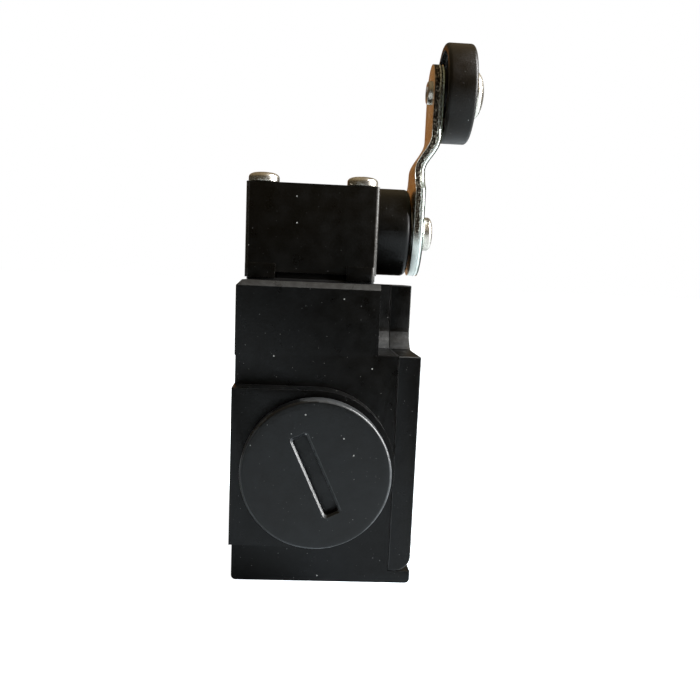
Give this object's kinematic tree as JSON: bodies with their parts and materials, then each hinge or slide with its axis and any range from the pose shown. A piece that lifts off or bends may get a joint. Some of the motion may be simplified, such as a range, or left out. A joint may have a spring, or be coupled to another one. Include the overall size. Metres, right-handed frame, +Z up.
{
  "type": "limit switch",
  "caption": "Compact plastic-bodied limit switch with a sprung roller lever on a rotary head and a blanked cable entry on each side.",
  "frame": {"origin": "middle of the housing's base, on the base plane", "axes": "+Z up along the body towards the roller, +Y towards the rear mounting face, +X across the width; the cover and lever face -Y"},
  "size_m": [0.0666, 0.0418, 0.0919],
  "materials": {
    "black_plastic": "near-black moulded thermoplastic with a fine even grain",
    "plug_plastic": "near-black moulded thermoplastic, smooth and slightly blue-grey in light",
    "head_plastic": "near-black moulded thermoplastic with worn paler edges",
    "roller_plastic": "dark brown-black hard plastic, satin",
    "seal_rubber": "black rubber",
    "zinc_steel": "bright zinc-plated punched steel",
    "screw_steel": "zinc-plated steel with light tool marks",
    "shaft_steel": "ground steel",
    "spring_steel": "drawn spring wire",
    "brass": "stamped brass strip",
    "contact_silver": "silver-faced copper alloy",
    "ivory_plastic": "ivory thermoset moulding",
    "red_plastic": "red moulded slider"
  },
  "bodies": {
    "switch_body": {"housing": "black_plastic", "front_cover": "black_plastic", "cover_gasket": "seal_rubber", "cover_screw": "screw_steel", "entry_plug_left": "plug_plastic", "plug_seal_left": "seal_rubber", "entry_plug_right": "plug_plastic", "plug_seal_right": "seal_rubber", "head_housing": "head_plastic", "head_gasket": "seal_rubber", "shaft_collar": "head_plastic", "shaft_seal": "seal_rubber", "head_screw_1": "screw_steel", "head_screw_2": "screw_steel", "head_screw_3": "screw_steel", "head_screw_4": "screw_steel", "return_spring": "spring_steel", "contact_block": "ivory_plastic", "block_screw_1": "screw_steel", "block_screw_2": "screw_steel", "plunger_spring": "spring_steel", "fixed_contact_upper_left": "brass", "fixed_contact_upper_right": "brass", "fixed_contact_lower_left": "brass", "fixed_contact_lower_right": "brass", "clamp_plate_upper_left": "zinc_steel", "clamp_plate_upper_right": "zinc_steel", "clamp_plate_lower_left": "zinc_steel", "clamp_plate_lower_right": "zinc_steel", "terminal_screw_upper_left": "screw_steel", "terminal_screw_upper_right": "screw_steel", "terminal_screw_lower_left": "screw_steel", "terminal_screw_lower_right": "screw_steel"},
    "lever": {"shaft": "shaft_steel", "cam": "shaft_steel", "shaft_clip": "spring_steel", "lever_arm": "zinc_steel", "lock_washer": "zinc_steel", "lever_screw": "screw_steel", "roller_axle": "screw_steel"},
    "roller": {"roller": "roller_plastic"},
    "tappet": {"tappet": "shaft_steel"},
    "plunger": {"plunger": "red_plastic", "contact_bridge_upper": "contact_silver", "contact_bridge_lower": "contact_silver", "contact_spring_upper": "spring_steel", "contact_spring_lower": "spring_steel"}
  },
  "joints": [
    {"name": "lever_swing", "type": "hinge", "parent": "switch_body", "child": "lever", "pos_m": [0, 0, 0.0587], "axis": [0, 1, 0], "range_deg": [-70, 70], "stiffness_Nm_per_rad": 0.1},
    {"name": "roller_spin", "type": "hinge", "parent": "lever", "child": "roller", "pos_m": [0, 0, 0.0834], "axis": [0, 1, 0], "continuous": true},
    {"name": "tappet_travel", "type": "slide", "parent": "switch_body", "child": "tappet", "axis": [0, 0, -1], "range_m": [0, 0.0022], "stiffness_N_per_m": 900, "springref_m": -0.004, "deforming": ["return_spring"]},
    {"name": "plunger_travel", "type": "slide", "parent": "switch_body", "child": "plunger", "axis": [0, 0, -1], "range_m": [0, 0.0022], "stiffness_N_per_m": 200, "springref_m": -0.002, "deforming": ["plunger_spring"]}
  ],
  "couplings": [
    {"joint": "plunger_travel", "follows": "tappet_travel", "ratio": 1}
  ]
}
